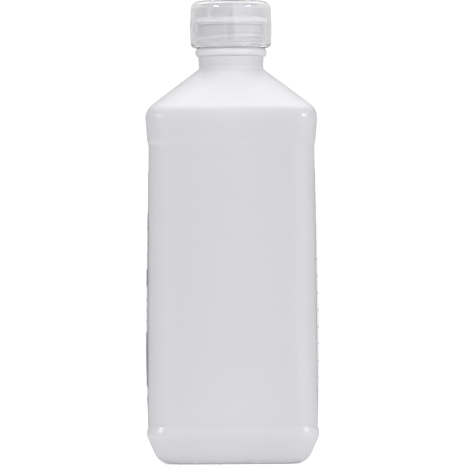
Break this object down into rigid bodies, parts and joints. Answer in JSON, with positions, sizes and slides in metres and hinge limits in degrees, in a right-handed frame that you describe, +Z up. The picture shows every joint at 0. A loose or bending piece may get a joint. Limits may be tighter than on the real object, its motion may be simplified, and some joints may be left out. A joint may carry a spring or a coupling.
{
  "type": "plastic reagent bottle with screw cap",
  "caption": "Square blow-moulded bottle of translucent plastic, filled with clear liquid, with a right-hand neck thread, a clear double-walled screw cap and two blank labels.",
  "frame": {"origin": "centre of the foot, on the surface the bottle stands on", "axes": "+Z up along the neck; -Y out of the plain front face; +X and -X out of the two labelled faces"},
  "size_m": [0.0828, 0.082, 0.2193],
  "materials": {
    "polyethylene": "natural translucent, satin",
    "clear_liquid": "clear and colourless",
    "label_paper": "semi-gloss coated paper",
    "liner_foam": "matt foam",
    "clear_polypropylene": "clear, glossy"
  },
  "bodies": {
    "bottle": {"bottle_shell": "polyethylene", "liquid_fill": "clear_liquid", "label_left": "label_paper", "label_right": "label_paper"},
    "seal": {"cap_liner": "liner_foam"},
    "cap": {"cap_threaded_insert": "clear_polypropylene", "cap_outer_shell": "clear_polypropylene"}
  },
  "joints": [
    {"name": "cap_lift", "type": "slide", "parent": "bottle", "child": "seal", "axis": [0, 0, 1], "range_m": [0, 0.01694]},
    {"name": "cap_turn", "type": "hinge", "parent": "seal", "child": "cap", "pos_m": [0, 0, 0.2], "axis": [0, 0, 1], "range_deg": [0, 1440]}
  ],
  "couplings": [
    {"joint": "cap_lift", "follows": "cap_turn", "m_per_rad": 0.00067376}
  ]
}
